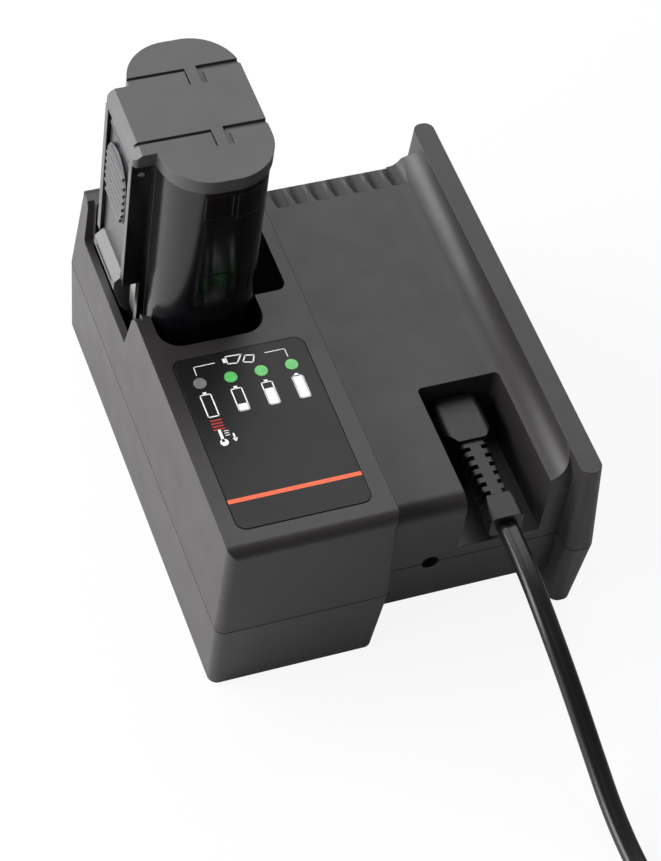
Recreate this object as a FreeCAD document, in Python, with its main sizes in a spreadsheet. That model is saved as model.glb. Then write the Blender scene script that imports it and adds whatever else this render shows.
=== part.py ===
"""Battery charger with a seated battery and a pull-off mains cord.

The charger stands on its base. Its origin is on the base plane below its middle,
+X is to the right, +Y is to the rear, where the cord leaves towards -Y, and +Z is up.
The housing is two moulded shells that part on one level plane. The left block holds the
battery bay and the label, the lower deck holds the power circuit and the plug recess,
and a fin with a swept inner face closes the right side.
"""
import FreeCAD, Part
import Sketcher
import math
import os
from FreeCAD import Vector

doc = FreeCAD.newDocument("battery_charger")

# Driving dimensions in millimetres, with what each one measures
SIZES = [
    ("overall_width", 120.0, "housing, left face to fin, at the parting plane"),
    ("overall_depth", 149.0, "housing, front to rear, at the parting plane"),
    ("parting_height", 28.9, "base to parting plane"),
    ("block_top", 65.3, "base to top of the left block and the fin"),
    ("block_width", 54.3, "left block at the parting plane"),
    ("deck_top", 56.2, "base to top of the deck"),
    ("deck_front", 7.7, "deck's front face behind the block's front face"),
    ("deck_rear", 9.0, "deck's rear face ahead of the block's rear face"),
    ("deck_floor", 9.6, "base to underside of the deck"),
    ("fin_width", 8.9, "fin at the parting plane"),
    ("fin_top_inner", 9.8, "fin's right face at the parting plane to its inner top edge"),
    ("wall", 3.0, "housing wall at the parting plane"),
    ("roof", 2.7, "thickness of the housing's top walls"),
    ("floor_wall", 2.4, "thickness of the housing's floors"),
    ("side_draft", 1.4, "how far the upper sides lean in"),
    ("front_draft", 2.1, "how far the upper front leans in"),
    ("rear_draft", 3.8, "how far the upper rear leans in"),
    ("fin_draft", 3.1, "how far the fin's outer face leans in"),
    ("foot_draft", 1.6, "how far the lower sides lean in"),
    ("corner_round", 3.0, "upright corners"),
    ("front_round", 3.6, "top front edge of the left block"),
    ("rear_round", 4.0, "top rear edge of the left block"),
    ("bullnose", 5.0, "front and rear top edges of the deck"),
    ("lip_height", 2.0, "tongue of the lower shell inside the upper shell"),
    ("lip_gap", 0.1, "clearance round the tongue"),
    ("bay_left", 3.2, "left face of the bay from the block's left face"),
    ("bay_right", 49.4, "right face of the bay from the block's left face"),
    ("bay_rear", 138.0, "rear face of the bay from the block's front face"),
    ("bay_step", 91.0, "front of the bay's wide part"),
    ("bay_front", 77.5, "front of the bay's rounded part"),
    ("bay_floor", 16.0, "base to the bay's floor"),
    ("bay_wall", 2.0, "wall round the bay"),
    ("rim_height", 48.0, "base to the lowered left rim of the bay"),
    ("recess_inset", 16.2, "plug recess from the housing's right face"),
    ("recess_width", 26.1, "plug recess"),
    ("recess_rear", 51.0, "rear face of the plug recess from the front"),
    ("recess_floor", 33.6, "base to the recess floor"),
    ("grip_count", 7, "finger grooves on the deck's rear edge"),
    ("grip_pitch", 6.45, "from groove to groove"),
    ("grip_radius", 4.0, "finger grooves"),
    ("label_left", 6.8, "label from the block's left face"),
    ("label_front", 9.8, "label from the block's front face"),
    ("label_width", 40.6, "label"),
    ("label_length", 62.5, "label"),
    ("label_thick", 0.6, "label"),
    ("label_corner", 3.0, "label corners"),
    ("lens_first", 12.6, "first window from the block's left face"),
    ("lens_row", 62.7, "windows from the block's front face"),
    ("lens_pitch", 9.47, "from window to window"),
    ("lens_radius", 1.95, "windows"),
    ("battery_left", 6.0, "battery case from the block's left face"),
    ("battery_width", 33.0, "battery case"),
    ("battery_front", 81.0, "battery case from the block's front face"),
    ("battery_length", 55.0, "battery case, front to rear"),
    ("battery_corner", 14.0, "battery case corners"),
    ("battery_bottom", 16.3, "base to underside of the battery"),
    ("battery_top", 131.5, "base to top of the battery cap"),
    ("battery_wall", 1.2, "battery case wall"),
    ("cap_thick", 4.6, "battery cap"),
    ("cap_proud", 0.5, "how far the cap stands out all round"),
    ("cell_radius", 13.1, "cells"),
    ("cell_length", 65.0, "cells"),
    ("latch_front", 96.3, "front of the latch housing"),
    ("latch_length", 25.0, "latch housing, front to rear"),
    ("latch_out", 7.3, "latch housing out of the battery's left side"),
    ("latch_foot", 75.0, "base to the foot of the latch housing"),
    ("rail_width", 2.4, "rails beside the latch lever"),
    ("inlet_inset", 30.0, "connector's axis from the housing's right face"),
    ("plug_axis", 45.0, "base to the connector's axis"),
    ("grip_width", 15.3, "connector grip"),
    ("grip_height", 9.6, "connector grip"),
    ("relief_slots", 6, "slots on each side of the strain relief"),
    ("cord_width", 6.4, "flat mains cord, side to side"),
    ("cord_thick", 4.7, "flat mains cord, top to bottom"),
    ("coil_diameter", 76.0, "coil at the middle of its turns"),
    ("coil_turns", 6.25, "turns of the coil, in two layers"),
    ("coil_gap", 0.45, "gap between neighbouring turns"),
    ("tie_thick", 0.8, "straps round the coil"),
    ("board_thick", 1.6, "circuit boards"),
    ("jack_across", 69.4, "low voltage socket from the block's left face"),
    ("jack_bore", 2.75, "radius of the low voltage socket"),
    ("foot_radius", 5.0, "rubber feet"),
    ("foot_thick", 1.2, "how far the rubber feet stand in the base"),
    ("screw_radius", 1.5, "housing screws"),
]

sheet = doc.addObject("Spreadsheet::Sheet", "Sizes")
for row, (alias, value, meaning) in enumerate(SIZES, start=1):
    sheet.set("A%d" % row, meaning)
    sheet.set("B%d" % row, str(value))
    sheet.setAlias("B%d" % row, alias)
doc.recompute()


def size(alias):
    return float(sheet.get(alias))


WIDTH = size("overall_width")
DEPTH = size("overall_depth")
PARTING = size("parting_height")
TOP = size("block_top")
BLOCK = size("block_width")
DECK = size("deck_top")
WALL = size("wall")
HOOK_OUT = 1.6
LEFT = -(WIDTH + size("battery_left") - size("latch_out") - HOOK_OUT) / 2
FRONT = -DEPTH / 2
FIN_IN = WIDTH - size("fin_width")
DECK_REAR = DEPTH - size("deck_rear")

NODES = []


def keep(label, shape):
    """Adds a finished shape to the document under its own label."""
    feature = doc.addObject("Part::Feature", label)
    feature.Label = label
    feature.Shape = shape
    feature.Placement = FreeCAD.Placement(Vector(LEFT, FRONT, 0), FreeCAD.Rotation())
    NODES.append(feature)
    return feature


def box(x0, y0, z0, x1, y1, z1):
    return Part.makeBox(x1 - x0, y1 - y0, z1 - z0, Vector(x0, y0, z0))


def rod(radius, length, start, along=Vector(0, 0, 1)):
    return Part.makeCylinder(radius, length, start, along)


def arc_between(start, corner, end):
    """The arc that leaves start towards corner and arrives at end."""
    half = (start + end) / 2
    cosine = (half - start).Length / (corner - start).Length
    middle = half + (corner - half) * (cosine / (1 + cosine))
    return Part.Arc(start, middle, end).toShape()


def outline(corners):
    """A closed wire of straight lines. A corner given with a radius is rounded by a tangent arc."""
    corners = [c if isinstance(c, tuple) else (c, 0.0) for c in corners]
    turns = []
    for i, (corner, radius) in enumerate(corners):
        into = (corner - corners[i - 1][0]).normalize()
        out = (corners[(i + 1) % len(corners)][0] - corner).normalize()
        reach = radius * math.tan(into.getAngle(out) / 2)
        turns.append((corner - into * reach, corner, corner + out * reach))
    edges = []
    for i, (start, corner, end) in enumerate(turns):
        if (end - start).Length > 1e-6:
            edges.append(arc_between(start, corner, end))
        after = turns[(i + 1) % len(turns)][0]
        if (after - end).Length > 1e-6:
            edges.append(Part.makeLine(end, after))
    return Part.Wire(edges)


def profile_solid(corners, direction):
    """A closed outline swept straight."""
    return Part.Face(outline(corners)).extrude(direction)


def prism(sides, radius, length, start, along=Vector(0, 0, 1)):
    """A rod with flat sides, for small round pieces that repeat or lie inside."""
    turn = FreeCAD.Rotation(Vector(0, 0, 1), along)
    corners = []
    for k in range(sides):
        angle = 2 * math.pi * (k + 0.5) / sides
        corners.append(start + turn.multVec(Vector(radius * math.cos(angle), radius * math.sin(angle), 0)))
    return profile_solid(corners, along * length)


def rounded_block(x0, y0, x1, y1, radius, z0, z1):
    """An upright block with its four upright edges rounded."""
    corners = [Vector(x0, y0, z0), Vector(x1, y0, z0), Vector(x1, y1, z0), Vector(x0, y1, z0)]
    return profile_solid([(c, radius) for c in corners], Vector(0, 0, z1 - z0))


def leaning_block(low, high, radius, z0, z1):
    """A block whose sides lean between two level rectangles, with its upright edges rounded."""
    x0, y0, x1, y1 = low
    high_x0, high_y0, high_x1, high_y1 = high
    wedge = Part.makeWedge(x0, z0, -y1, -high_y1, high_x0, x1, z1, -y0, -high_y0, high_x1)
    wedge.rotate(Vector(0, 0, 0), Vector(1, 0, 0), 90)
    upright = [e for e in wedge.Edges if abs(e.Vertexes[0].Z - e.Vertexes[1].Z) > 1]
    return wedge.makeFillet(radius, upright)


def side_profile(low, high, z0, z1, radii, x0, x1):
    """A block seen from the side, leaning from low to high, with its two top edges rounded."""
    corners = [Vector(x0, low[0], z0), (Vector(x0, high[0], z1), radii[0]),
               (Vector(x0, high[1], z1), radii[1]), Vector(x0, low[1], z0)]
    return profile_solid(corners, Vector(x1 - x0, 0, 0))


def plan_prism(inset, z0, z1):
    """The housing's outline at the parting plane, drawn in by an inset."""
    radius = max(size("corner_round") - inset, 0.3)
    block = rounded_block(inset, inset, BLOCK - inset, DEPTH - inset, radius, z0, z1)
    fin = rounded_block(FIN_IN + inset, inset, WIDTH - inset, DEPTH - inset, radius, z0, z1)
    deck = box(BLOCK / 2, size("deck_front") + inset, z0,
               WIDTH - size("fin_width") / 2, DECK_REAR - inset, z1)
    return block.fuse([deck, fin]).removeSplitter()


def bay_prism(grow, z0, z1):
    """The bay's outline: a wide part and a rounded part ahead of it."""
    left = size("bay_left")
    wide = rounded_block(left - grow, size("bay_step") - grow, size("bay_right") + grow,
                         size("bay_rear") + grow, 3.0 + grow, z0, z1)
    lobe_left = size("battery_left") + 0.2
    lobe_right = size("battery_left") + size("battery_width")
    lobe = rounded_block(lobe_left - grow, size("bay_front") - grow, lobe_right + grow,
                         size("bay_step") + 20, 7.0 + grow, z0, z1)
    return wide.fuse(lobe).removeSplitter()


RECESS_LEFT = WIDTH - size("recess_inset") - size("recess_width")

BOSSES = [(6.6, 7.6), (BLOCK - 6.6, 7.6), (BLOCK + 6.3, DECK_REAR - 6.8), (WIDTH - 16.5, DECK_REAR - 6.8)]
BOSS_HALF = 3.1
SCREW_SEAT = 6.0
HEAD_RADIUS = 2.9


def boss_base(x):
    return 0.0 if x < BLOCK else size("deck_floor")


def pillar(x, y, half, z0, z1):
    """A square post that carries a screw or a board."""
    return box(x - half, y - half, z0, x + half, y + half, z1)


def jack_axis(radius, y0, y1):
    return rod(radius, y1 - y0, Vector(size("jack_across"), y0, PARTING), Vector(0, 1, 0))


def lower_housing():
    lean = size("foot_draft")
    base = (lean * 0.5, lean, BLOCK - lean, DEPTH - lean)
    block = leaning_block(base, (0, 0, BLOCK, DEPTH), size("corner_round"), 0, PARTING)
    base = (FIN_IN + 0.3, lean, WIDTH - lean, DEPTH - lean)
    fin = leaning_block(base, (FIN_IN, 0, WIDTH, DEPTH), size("corner_round"), 0, PARTING)
    deck = side_profile((size("deck_front"), DECK_REAR), (size("deck_front") + 0.9, DECK_REAR - 0.9),
                        PARTING, size("deck_floor"), (1.0, 1.0), BLOCK / 2, WIDTH - 4)
    body = block.fuse([deck, fin])
    floor = size("floor_wall")
    inside = plan_prism(WALL, floor, PARTING + 5)
    under_deck = box(BLOCK - WALL, -1, -1, FIN_IN + WALL, DEPTH + 1, size("deck_floor") + floor)
    body = body.cut(inside.cut(under_deck))
    gap = size("lip_gap")
    tongue = plan_prism(WALL / 2 + gap, PARTING - 1, PARTING + size("lip_height"))
    tongue = tongue.cut(plan_prism(WALL, PARTING - 2, PARTING + 5))
    body = body.fuse(tongue)
    for x, y in BOSSES:
        body = body.fuse(pillar(x, y, BOSS_HALF + 0.4, boss_base(x), PARTING - 0.2))
    for x, y in BOSSES:
        base_z = boss_base(x)
        body = body.cut(prism(12, size("screw_radius") + 0.3, PARTING + 5, Vector(x, y, base_z - 1)))
        body = body.cut(prism(12, HEAD_RADIUS + 0.4, SCREW_SEAT + 1, Vector(x, y, base_z - 1)))
    for x, y in BOARD_POSTS:
        body = body.fuse(pillar(x, y, 2.2, size("deck_floor"), MAIN_BOARD_Z))
    for x, y in BAY_POSTS:
        body = body.fuse(pillar(x, y, 1.8, 1.0, BAY_BOARD_Z))
    cradle = box(JACK[0] + 1, JACK[1] + 1, size("deck_floor") + 1, JACK[3] - 1, JACK[4] - 2, JACK[2])
    body = body.fuse(cradle)
    for x, y in FEET:
        body = body.cut(prism(16, size("foot_radius") + 0.1, size("foot_thick"), Vector(x, y, 0)))
    for k in range(VENTS):
        y = 32 + 12 * k
        body = body.cut(box(10, y, -1, 44, y + 3, floor + 1))
    body = body.cut(jack_axis(size("jack_bore"), -1, 20))
    return body.removeSplitter()


def upper_housing():
    lean = size("side_draft")
    block = leaning_block((0, 0, BLOCK, DEPTH),
                          (lean, size("front_draft"), BLOCK - 0.9, DEPTH - size("rear_draft")),
                          size("corner_round"), PARTING, TOP)
    block = block.common(side_profile((0, DEPTH), (size("front_draft"), DEPTH - size("rear_draft")), PARTING, TOP,
                                      (size("front_round"), size("rear_round")), -2, BLOCK + 2))
    noses = (size("bullnose"), size("bullnose"))
    deck_ends = (size("deck_front"), DECK_REAR)
    deck = side_profile(deck_ends, deck_ends, PARTING, DECK, noses, BLOCK / 2, FIN_IN + 1)
    fin = leaning_block((FIN_IN, 0, WIDTH, DEPTH),
                        (WIDTH - size("fin_top_inner"), size("front_draft"),
                         WIDTH - size("fin_draft"), DEPTH - size("rear_draft")),
                        size("corner_round"), PARTING, TOP)
    sweep = TOP - DECK
    inner = WIDTH - size("fin_top_inner")
    web = profile_solid([Vector(inner - sweep, 0, DECK), (Vector(inner, 0, DECK), sweep), Vector(inner, 0, TOP),
                         Vector(inner + 2, 0, TOP), Vector(inner + 2, 0, DECK - 8), Vector(inner - sweep, 0, DECK - 8)],
                        Vector(0, DEPTH, 0))
    web_ends = (size("deck_front") + 0.4, DECK_REAR - 0.4)
    web_nose = size("bullnose") + sweep * 0.6
    web = web.common(side_profile(web_ends, web_ends, PARTING, TOP, (web_nose, web_nose), 0, WIDTH))
    body = block.fuse([deck, fin, web])
    body = body.cut(upper_cavities())
    bay_depth = size("bay_floor") - size("bay_wall")
    tub = bay_prism(size("bay_wall"), bay_depth, PARTING + 1)
    tub = tub.common(box(size("bay_left"), 0, 0, WIDTH, DEPTH, TOP))
    body = body.fuse(tub)
    body = body.cut(bay_prism(0, PARTING - 0.5, TOP + 10))
    inner_bay = bay_prism(0, size("bay_floor"), PARTING + 1)
    body = body.cut(inner_bay.common(box(size("bay_left") + size("bay_wall"), 0, 0, WIDTH, DEPTH, TOP)))
    body = body.cut(left_notch())
    body = body.cut(recess(0))
    body = body.cut(inlet_hole())
    body = body.cut(contact_hole())
    gap = size("lip_gap")
    rabbet = plan_prism(WALL / 2, PARTING - 1, PARTING + size("lip_height") + gap)
    body = body.cut(rabbet.cut(plan_prism(WALL, PARTING - 2, PARTING + 5)))
    body = body.cut(label_pocket())
    for k in range(4):
        body = body.cut(prism(24, size("lens_radius") + 0.05, 12, lens_spot(k, TOP - 8)))
    for k in range(int(size("grip_count"))):
        body = body.cut(grip_groove(k))
    for x, y in BOSSES:
        body = body.cut(prism(12, size("screw_radius") - 0.1, 12, Vector(x, y, PARTING - 0.5)))
    body = body.cut(jack_axis(size("jack_bore"), -1, 20))
    return body.removeSplitter()


def upper_cavities():
    """What is empty inside the upper shell, round the bay, the recess and the bosses."""
    side = size("deck_front") + WALL
    fin_room = box(-1, -1, PARTING - 2, FIN_IN - 1, DEPTH + 1, TOP)
    low = plan_prism(WALL, PARTING - 1, DECK - 8).common(fin_room)
    block = box(WALL + 0.4, WALL + 0.5, PARTING, BLOCK - WALL - 0.4, size("bay_step"), TOP - 9)
    attic = box(WALL + 1, 10, PARTING, BLOCK - WALL - 0.8, size("bay_step"), TOP - size("roof"))
    deck = box(BLOCK - WALL - 5, side + 2.6, PARTING, FIN_IN - 6, DECK_REAR - WALL - 2.6,
               DECK - size("roof"))
    deck = deck.cut(box(0, 0, DECK - 8, BLOCK - 0.5, DEPTH, TOP))
    fin = box(FIN_IN + 2.6, WALL + 1, PARTING - 1, WIDTH - WALL - 0.4, DEPTH - WALL - 2, TOP - 17)
    room = low.fuse([block, attic, deck, fin])
    stays = [bay_prism(size("bay_wall"), PARTING - 2, TOP), recess(size("bay_wall"))]
    stays.append(box(0, size("bay_step"), PARTING - 2, size("bay_right") + 1, DEPTH, TOP))
    for x, y in BOSSES:
        stays.append(pillar(x, y, BOSS_HALF, PARTING - 2, TOP))
    for x, y in DISPLAY_POSTS:
        stays.append(pillar(x, y, 1.8, DISPLAY_Z + size("board_thick"), TOP))
    return room.cut(stays)


def left_notch():
    """The lowered rim at the bay's left, where the latch is reached."""
    rim = size("rim_height")
    step = size("bay_step")
    rear = size("bay_rear")
    x0 = -3.0
    corners = [Vector(x0, step + 5.2, rim), (Vector(x0, rear, rim), 2.0), Vector(x0, rear, TOP - 2.5),
               Vector(x0, rear + 1.5, TOP + 1), Vector(x0, step - 12, TOP + 1), (Vector(x0, step + 1.2, TOP), 5.0)]
    return profile_solid(corners, Vector(size("bay_left") - x0 + 0.4, 0, 0))


def recess(grow):
    """The plug recess, open to the front and above, or its walls where it is grown."""
    left = RECESS_LEFT
    return rounded_block(left - grow, -5, left + size("recess_width") + grow, size("recess_rear") + grow,
                         1.5 + grow, size("recess_floor") - grow, TOP + 5)


INLET_X = WIDTH - size("inlet_inset")


def figure_eight(width, height, y0, y1):
    """The two-pole appliance coupler's section, a stadium lying on its side."""
    radius = height / 2
    axis = size("plug_axis")
    half = width / 2 - radius
    middle = box(INLET_X - half, y0, axis - radius, INLET_X + half, y1, axis + radius)
    ends = [rod(radius, y1 - y0, Vector(INLET_X + s * half, y0, axis), Vector(0, 1, 0)) for s in (-1, 1)]
    return middle.fuse(ends).removeSplitter()


INSERT_WIDTH = 13.6
INSERT_HEIGHT = 7.2
INSERT_DEEP = 13.0


def inlet_hole():
    rear = size("recess_rear")
    return figure_eight(INSERT_WIDTH + 1.6, INSERT_HEIGHT + 1.6, rear - 1, rear + size("bay_wall") + 1)


MAIN_BOARD_Z = PARTING - 0.4
MAIN_BOARD = (BLOCK + 3.7, 30.0, WIDTH - 13.0, DECK_REAR - 16.0)
BOARD_POSTS = [(x, y) for y in (MAIN_BOARD[1] + 4, MAIN_BOARD[3] - 4) for x in (MAIN_BOARD[0] + 4, MAIN_BOARD[2] - 4)]
BAY_BOARD_Z = 8.0
BAY_BOARD = (10.0, 92.0, 38.0, 126.0)
BAY_POSTS = [(x, y) for y in (BAY_BOARD[1] + 3, BAY_BOARD[3] - 3) for x in (BAY_BOARD[0] + 3, BAY_BOARD[2] - 3)]
DISPLAY_Z = TOP - 9.4
DISPLAY_BOARD = (11.5, 13.0, 44.0, 67.0)
DISPLAY_POSTS = [(14.0, 16.0), (41.5, 16.0), (14.0, 54.0), (41.5, 54.0)]
CONTACT_BLOCK = (15.0, 99.0, 30.0, 119.0)
JACK = (size("jack_across") - 4.5, size("deck_front") + WALL + 0.2, PARTING - 4.5,
        size("jack_across") + 4.5, size("deck_front") + WALL + 14.0, PARTING + 4.5)
FEET = [(9.5, 20.0), (44.0, 20.0), (9.5, DEPTH - 12.0), (44.0, DEPTH - 12.0)]
VENTS = 5


def contact_hole():
    x0, y0, x1, y1 = CONTACT_BLOCK
    return box(x0 + 1.5, y0 + 1.5, 0, x1 - 1.5, y1 - 1.5, size("bay_floor") + 0.5)


def lens_spot(k, z):
    return Vector(size("lens_first") + k * size("lens_pitch"), size("lens_row"), z)


def label_outline(grow, z0, z1):
    x0 = size("label_left") - grow
    y0 = size("label_front") - grow
    return rounded_block(x0, y0, x0 + size("label_width") + 2 * grow, y0 + size("label_length") + 2 * grow,
                         size("label_corner") + grow, z0, z1)


def label_pocket():
    return label_outline(0.25, TOP - size("label_thick") + 0.15, TOP + 1)


def grip_groove(k):
    """One finger groove, sloping with the deck's rear edge."""
    middle = RECESS_LEFT + 4.5
    x = middle + (k - (size("grip_count") - 1) / 2) * size("grip_pitch")
    radius = size("grip_radius")
    start = Vector(x, DECK_REAR - 9.5, DECK + radius - 0.6)
    return rod(radius, 40, start, Vector(0, 1, -0.16))


# The charger's shells and what they carry
keep("lower_housing", lower_housing())
keep("upper_housing", upper_housing())


def plate(label, x, y, z, width, length, thick):
    """A flat plate as a body of one pad, whose sizes and place follow the sheet."""
    body = doc.addObject("PartDesign::Body", label)
    body.Label = label
    sketch = body.newObject("Sketcher::SketchObject", label + "_outline")
    base = [f for f in body.Origin.OriginFeatures if f.Role == "XY_Plane"][0]
    sketch.AttachmentSupport = [(base, "")]
    sketch.MapMode = "FlatFace"
    corners = [Vector(0, 0, 0), Vector(20, 0, 0), Vector(20, 30, 0), Vector(0, 30, 0)]
    for i in range(4):
        sketch.addGeometry(Part.LineSegment(corners[i], corners[(i + 1) % 4]), False)
    for i in range(4):
        sketch.addConstraint(Sketcher.Constraint("Coincident", i, 2, (i + 1) % 4, 1))
    for i in (0, 2):
        sketch.addConstraint(Sketcher.Constraint("Horizontal", i))
    for i in (1, 3):
        sketch.addConstraint(Sketcher.Constraint("Vertical", i))
    sketch.addConstraint(Sketcher.Constraint("Coincident", 0, 1, -1, 1))
    across = sketch.addConstraint(Sketcher.Constraint("DistanceX", 0, 1, 0, 2, 20))
    along = sketch.addConstraint(Sketcher.Constraint("DistanceY", 1, 1, 1, 2, 30))
    sketch.setExpression("Constraints[%d]" % across, width)
    sketch.setExpression("Constraints[%d]" % along, length)
    pad = body.newObject("PartDesign::Pad", label + "_pad")
    pad.Profile = sketch
    pad.setExpression("Length", thick)
    for axis, formula in zip("xyz", (x, y, z)):
        body.setExpression("Placement.Base." + axis, formula)
    NODES.append(body)


def label_panel():
    panel = label_outline(0, TOP - size("label_thick") + 0.15, TOP + 0.15)
    for k in range(4):
        panel = panel.cut(prism(24, size("lens_radius") + 0.05, 3, lens_spot(k, TOP - 1)))
    return panel


def lens(k):
    """A round light guide, just proud of the label."""
    return prism(24, size("lens_radius"), size("roof") + 0.2, lens_spot(k, TOP - size("roof") + 0.1))


def diode(k):
    seat = DISPLAY_Z + size("board_thick")
    return prism(12, 1.5, 4.4, lens_spot(k, seat)).fuse(prism(12, 1.9, 1.0, lens_spot(k, seat)))


keep("label_panel", label_panel())
keep("status_lenses", Part.makeCompound([lens(k) for k in (1, 2, 3)]))
keep("fault_lens", lens(0))
keep("status_leds", Part.makeCompound([diode(k) for k in range(4)]))


LEFT_FORMULA = "(Sizes.overall_width + Sizes.battery_left - Sizes.latch_out - %g) / -2" % HOOK_OUT


def board(label, outline, height):
    x0, y0, x1, y1 = outline
    plate(label, "%s + %g" % (LEFT_FORMULA, x0), "Sizes.overall_depth / -2 + %g" % y0,
          height, "%g" % (x1 - x0), "%g" % (y1 - y0), "Sizes.board_thick")


board("main_board", MAIN_BOARD, "Sizes.parting_height - 0.4")
board("bay_board", BAY_BOARD, "%g" % BAY_BOARD_Z)
board("display_board", DISPLAY_BOARD, "Sizes.block_top - 9.4")

DECK_SEAT = MAIN_BOARD_Z + size("board_thick")
INLET_Y = size("recess_rear") + size("bay_wall")
CAN_RADIUS = 7.2
CAN_X = MAIN_BOARD[2] - 9.0
CORE_X = MAIN_BOARD[0] + 4.0
CORE_Y = MAIN_BOARD[3] - 34.0
CORE = (CORE_X, CORE_Y, CAN_X - CAN_RADIUS - 2.8 - CORE_X, 10.0, 20.0)
LEG = CORE[2] * 2 / 13
SINK_X = MAIN_BOARD[2] - 23.0
SINK_Y = MAIN_BOARD[3] - 16.0
FUSE_X = CAN_X - CAN_RADIUS - 20.8
FUSE_Y = 80.0


def transformer_core():
    """Two E halves round the middle leg, as one ferrite frame with two windows."""
    x, y, w, d, h = CORE
    z = DECK_SEAT + 0.8
    core = box(x, y, z, x + w, y + d, z + h)
    for side in (LEG, w / 2 + LEG):
        core = core.cut(box(x + side, y - 1, z + 3.5, x + side + w / 2 - 2 * LEG, y + d + 1, z + h - 3.5))
    return core


def transformer_winding():
    x, y, w, d, h = CORE
    z = DECK_SEAT + 0.8
    turns = rounded_block(x + LEG + 0.4, y - 4.6, x + w - LEG - 0.4, y + d + 4.6, 3.0, z + 4.6, z + h - 4.6)
    flanges = [box(x + LEG + 0.2, y - 5.4, z + a, x + w - LEG - 0.2, y + d + 5.4, z + a + 1.0)
               for a in (3.6, h - 4.6)]
    leg = box(x + w / 2 - LEG - 0.2, y - 0.2, z, x + w / 2 + LEG + 0.2, y + d + 0.2, z + h)
    feet = [box(x + 6, y + e, DECK_SEAT, x + w - 6, y + e + 2.4, z + 4) for e in (-5.4, d + 3.0)]
    return turns.fuse(flanges + feet).cut(leg)


def input_capacitor():
    """A can on its side, from behind the inlet to ahead of the transistor."""
    start = INLET_Y + 22.0
    return prism(24, CAN_RADIUS, SINK_Y - 9.0 - start, Vector(CAN_X, start, DECK_SEAT + 7.14), Vector(0, 1, 0))


def output_capacitors():
    return Part.makeCompound([prism(16, 4.0, 16.0, Vector(CORE_X + 2.5, y, DECK_SEAT)) for y in (60.0, 72.0)])


def heat_sink():
    x, y, z = SINK_X, SINK_Y, DECK_SEAT
    parts = [box(x, y, z, x + 19, y + 2, z + 20)]
    parts += [box(x + 4.4 * k, y + 2, z, x + 4.4 * k + 1.4, y + 12, z + 20) for k in range(5)]
    return parts[0].fuse(parts[1:]).removeSplitter()


def power_transistor():
    x = SINK_X + 7.5
    y = SINK_Y
    package = box(x, y - 4.5, DECK_SEAT + 3, x + 10, y, DECK_SEAT + 12)
    tab = box(x, y - 1.3, DECK_SEAT + 12, x + 10, y, DECK_SEAT + 18)
    tab = tab.cut(prism(12, 1.8, 9, Vector(x + 5, y - 4, DECK_SEAT + 15.2), Vector(0, 1, 0)))
    legs = []
    for k in range(3):
        leg = x + 1.6 + 2.6 * k
        legs.append(box(leg, y - 2.6, DECK_SEAT, leg + 0.9, y - 2.0, DECK_SEAT + 3))
    return package.fuse([tab] + legs)


def fuse():
    z = DECK_SEAT + 2.9
    glass = prism(12, 2.3, 18, Vector(FUSE_X + 1, FUSE_Y, z), Vector(1, 0, 0))
    caps = [prism(12, 2.6, 5, Vector(FUSE_X + x, FUSE_Y, z), Vector(1, 0, 0)) for x in (0, 15)]
    legs = [box(FUSE_X + x, FUSE_Y - 0.4, DECK_SEAT, FUSE_X + x + 0.8, FUSE_Y + 0.4, z) for x in (2, 17)]
    return glass.fuse(caps + legs)


keep("transformer_core", transformer_core())
keep("transformer_winding", transformer_winding())
keep("input_capacitor", input_capacitor())
keep("output_capacitors", output_capacitors())
keep("heat_sink", heat_sink())
keep("power_transistor", power_transistor())
keep("fuse", fuse())

PIN_APART = 8.6
PIN_RADIUS = 1.2
SOCKET_RADIUS = 1.9


def mains_inlet():
    """Two-pole appliance inlet: a deep stadium well behind the recess wall."""
    axis = size("plug_axis")
    body = box(INLET_X - 10.5, INLET_Y, DECK_SEAT, INLET_X + 10.5, INLET_Y + 16, axis + 7.5)
    nose = figure_eight(INSERT_WIDTH + 1.4, INSERT_HEIGHT + 1.4, size("recess_rear") + 0.2, INLET_Y + 1)
    well = figure_eight(INSERT_WIDTH + 0.7, INSERT_HEIGHT + 0.7, 0, INLET_Y + 12.5)
    body = body.fuse(nose).cut(well)
    for side in (-1, 1):
        spot = Vector(INLET_X + side * PIN_APART / 2, INLET_Y, axis)
        body = body.cut(prism(12, PIN_RADIUS, 30, spot, Vector(0, 1, 0)))
    return body


def inlet_pins():
    pins = []
    axis = size("plug_axis")
    for side in (-1, 1):
        x = INLET_X + side * PIN_APART / 2
        pin = prism(12, PIN_RADIUS, 15.0, Vector(x, INLET_Y + 3.0, axis), Vector(0, 1, 0))
        tail = box(x - 0.8, INLET_Y + 16.2, DECK_SEAT, x + 0.8, INLET_Y + 17.4, axis)
        pins.append(pin.fuse(tail))
    return Part.makeCompound(pins)


def dc_jack():
    x0, y0, z0, x1, y1, z1 = JACK
    body = box(x0, y0, z0, x1, y1, z1)
    return body.cut(jack_axis(size("jack_bore"), y0 - 1, y1 - 2.5))


def dc_jack_pin():
    return jack_axis(0.95, JACK[1] + 1.5, JACK[4] - 2.5)


def housing_screws():
    screws = []
    for x, y in BOSSES:
        seat = boss_base(x) + SCREW_SEAT
        head = prism(12, HEAD_RADIUS, 2.2, Vector(x, y, seat - 2.2))
        screws.append(head.fuse(prism(12, size("screw_radius") - 0.15, PARTING + 9 - seat, Vector(x, y, seat))))
    return Part.makeCompound(screws)


def contact_block():
    x0, y0, x1, y1 = CONTACT_BLOCK
    floor = size("bay_floor")
    low = BAY_BOARD_Z + size("board_thick")
    block = box(x0, y0, floor, x1, y1, floor + 5)
    block = block.fuse(box(x0 + 1.8, y0 + 1.8, low, x1 - 1.8, y1 - 1.8, floor))
    return block.cut(contact_blades())


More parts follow.
